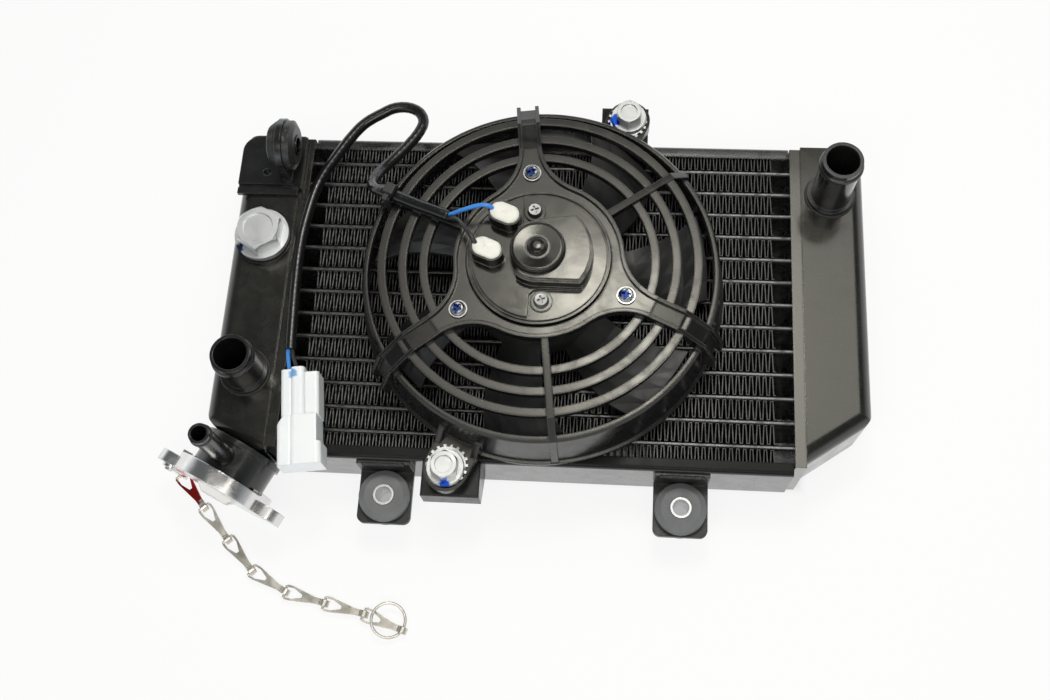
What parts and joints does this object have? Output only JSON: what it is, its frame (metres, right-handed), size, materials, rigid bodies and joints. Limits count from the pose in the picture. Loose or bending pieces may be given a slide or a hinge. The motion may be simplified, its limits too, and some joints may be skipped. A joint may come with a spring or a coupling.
{
  "type": "radiator with electric fan",
  "caption": "Small liquid-cooling radiator with folded fins between flat tubes, side tanks, hose pipes, an electric fan in a ring guard and a filler cap on a chain.",
  "frame": {"origin": "middle of the core, on the plane of the tank backs", "axes": "+X from the filler side to the inlet side, +Y from the lower mounts to the top, +Z out of the fan side"},
  "size_m": [0.2854, 0.2272, 0.078],
  "materials": {
    "black_paint": "satin black paint",
    "black_steel": "satin black paint",
    "rubber": "matt",
    "zinc": "zinc plated",
    "guard_plastic": "fine grain",
    "motor_plate": "satin",
    "magnet": "plain",
    "copper": "plain",
    "white_plastic": "natural nylon",
    "blue_wire": "smooth",
    "cap_metal": "bright plated"
  },
  "bodies": {
    "radiator": {"core_tubes": "black_paint", "core_fins": "black_paint", "header_left": "black_paint", "header_right": "black_paint", "tank_left": "black_paint", "tank_right": "black_paint", "side_plate_top": "black_paint", "side_plate_bottom": "black_paint", "inlet_pipe": "black_paint", "outlet_pipe": "black_paint", "filler_neck": "black_paint", "overflow_nipple": "black_paint", "plug_boss": "black_paint", "plug_seal": "rubber", "hex_plug": "zinc", "upper_bracket": "black_steel", "lower_bracket_left": "black_steel", "lower_bracket_right": "black_steel", "mount_grommets": "rubber", "mount_collars": "zinc", "fan_bracket_upper": "black_steel", "fan_bracket_lower": "black_steel", "weld_nuts": "black_steel", "fan_bolts": "zinc", "toothed_washers": "zinc", "fan_guard": "guard_plastic", "guard_screws": "zinc", "motor_can": "black_steel", "motor_magnets": "magnet", "motor_brushes": "magnet", "front_bush": "copper", "rear_bush": "copper", "motor_end_plate": "motor_plate", "plate_screws": "zinc", "terminal_potting": "white_plastic", "blue_lead": "blue_wire", "black_lead": "guard_plastic", "harness_sleeve": "guard_plastic", "cable_tie": "guard_plastic", "connector_plug": "white_plastic", "connector_socket": "white_plastic"},
    "fan": {"impeller": "guard_plastic", "shaft_nut": "zinc", "motor_shaft": "zinc", "armature": "magnet", "commutator": "copper"},
    "cap": {"cap_shell": "cap_metal", "cap_spring": "zinc", "chain_lug": "cap_metal"},
    "valve": {"cap_valve": "copper", "cap_seal": "rubber"},
    "link_1": {"chain_link_1": "cap_metal"},
    "link_2": {"chain_link_2": "cap_metal"},
    "link_3": {"chain_link_3": "cap_metal"},
    "link_4": {"chain_link_4": "cap_metal"},
    "link_5": {"chain_link_5": "cap_metal"},
    "link_6": {"chain_link_6": "cap_metal"},
    "link_7": {"chain_link_7": "cap_metal"},
    "ring": {"chain_ring": "cap_metal"}
  },
  "joints": [
    {"name": "fan_spin", "type": "hinge", "parent": "radiator", "child": "fan", "pos_m": [0.0005, 0.002, 0.051], "axis": [0, 0, 1], "continuous": true},
    {"name": "cap_turn", "type": "hinge", "parent": "radiator", "child": "cap", "pos_m": [-0.12562, -0.08242, 0.0205], "axis": [-0.4384, -0.8988, 0], "range_deg": [0, 90]},
    {"name": "valve_lift", "type": "slide", "parent": "cap", "child": "valve", "axis": [-0.4384, -0.8988, 0], "range_m": [0, 0.003], "stiffness_N_per_m": 5000, "springref_m": -0.004, "deforming": ["cap_spring"]},
    {"name": "link_1_swing", "type": "hinge", "parent": "cap", "child": "link_1", "pos_m": [-0.1484, -0.07553, 0.006], "axis": [-0.7466, -0.6652, 0], "range_deg": [-25, 15]},
    {"name": "link_2_swing", "type": "hinge", "parent": "link_1", "child": "link_2", "pos_m": [-0.13714, -0.08818, 0.00452], "axis": [-0.7431, -0.6691, 0], "range_deg": [-25, 25]},
    {"name": "link_3_swing", "type": "hinge", "parent": "link_2", "child": "link_3", "pos_m": [-0.12585, -0.10072, 0.00245], "axis": [-0.7193, -0.6947, 0], "range_deg": [-25, 25]},
    {"name": "link_4_swing", "type": "hinge", "parent": "link_3", "child": "link_4", "pos_m": [-0.11404, -0.11295, 0.00245], "axis": [-0.4695, -0.8829, 0], "range_deg": [-25, 25]},
    {"name": "link_5_swing", "type": "hinge", "parent": "link_4", "child": "link_5", "pos_m": [-0.09903, -0.12093, 0.00245], "axis": [-0.225, -0.9744, 0], "range_deg": [-25, 25]},
    {"name": "link_6_swing", "type": "hinge", "parent": "link_5", "child": "link_6", "pos_m": [-0.08246, -0.12475, 0.00245], "axis": [-0.2079, -0.9781, 0], "range_deg": [-25, 25]},
    {"name": "link_7_swing", "type": "hinge", "parent": "link_6", "child": "link_7", "pos_m": [-0.06583, -0.12829, 0.00245], "axis": [-0.3256, -0.9455, 0], "range_deg": [-25, 25]},
    {"name": "ring_swing", "type": "hinge", "parent": "link_7", "child": "ring", "pos_m": [-0.04976, -0.13382, 0.00245], "axis": [0.515, 0.8572, 0], "range_deg": [0, 60]}
  ]
}
